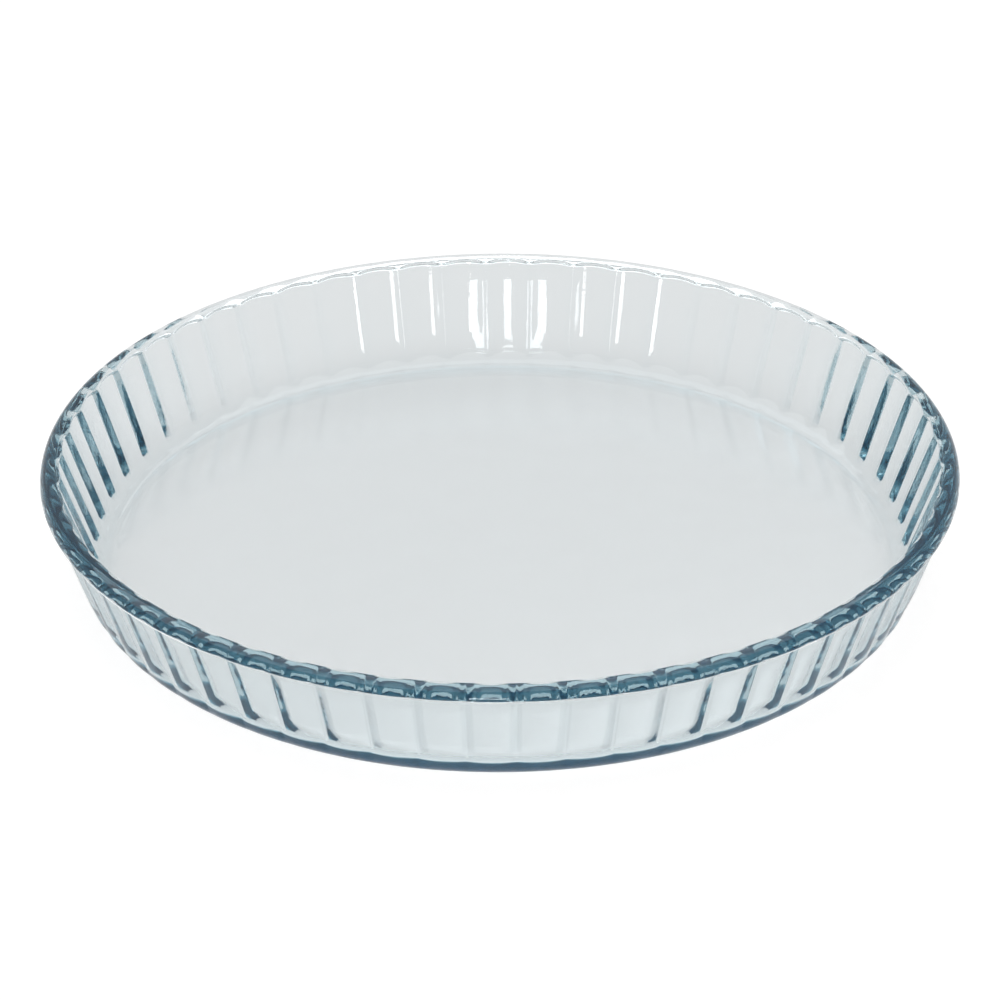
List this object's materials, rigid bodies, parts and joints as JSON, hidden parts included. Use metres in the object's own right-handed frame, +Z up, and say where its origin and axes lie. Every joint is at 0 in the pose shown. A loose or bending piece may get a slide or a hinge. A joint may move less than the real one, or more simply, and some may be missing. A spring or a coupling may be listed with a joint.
{
  "type": "pie dish",
  "caption": "Shallow round pressed-glass baking dish with a flat base, a fluted leaning wall and a smooth rounded rim.",
  "frame": {"origin": "centre of the underside of the base, where the dish rests", "axes": "+Z up out of the dish along its axis of symmetry; +X through a crease between two flutes"},
  "size_m": [0.28, 0.28, 0.037],
  "materials": {
    "glass_dish": "clear pressed glass with a blue-green edge tint"
  },
  "bodies": {
    "root": {"glass_dish": "glass_dish"}
  },
  "joints": []
}
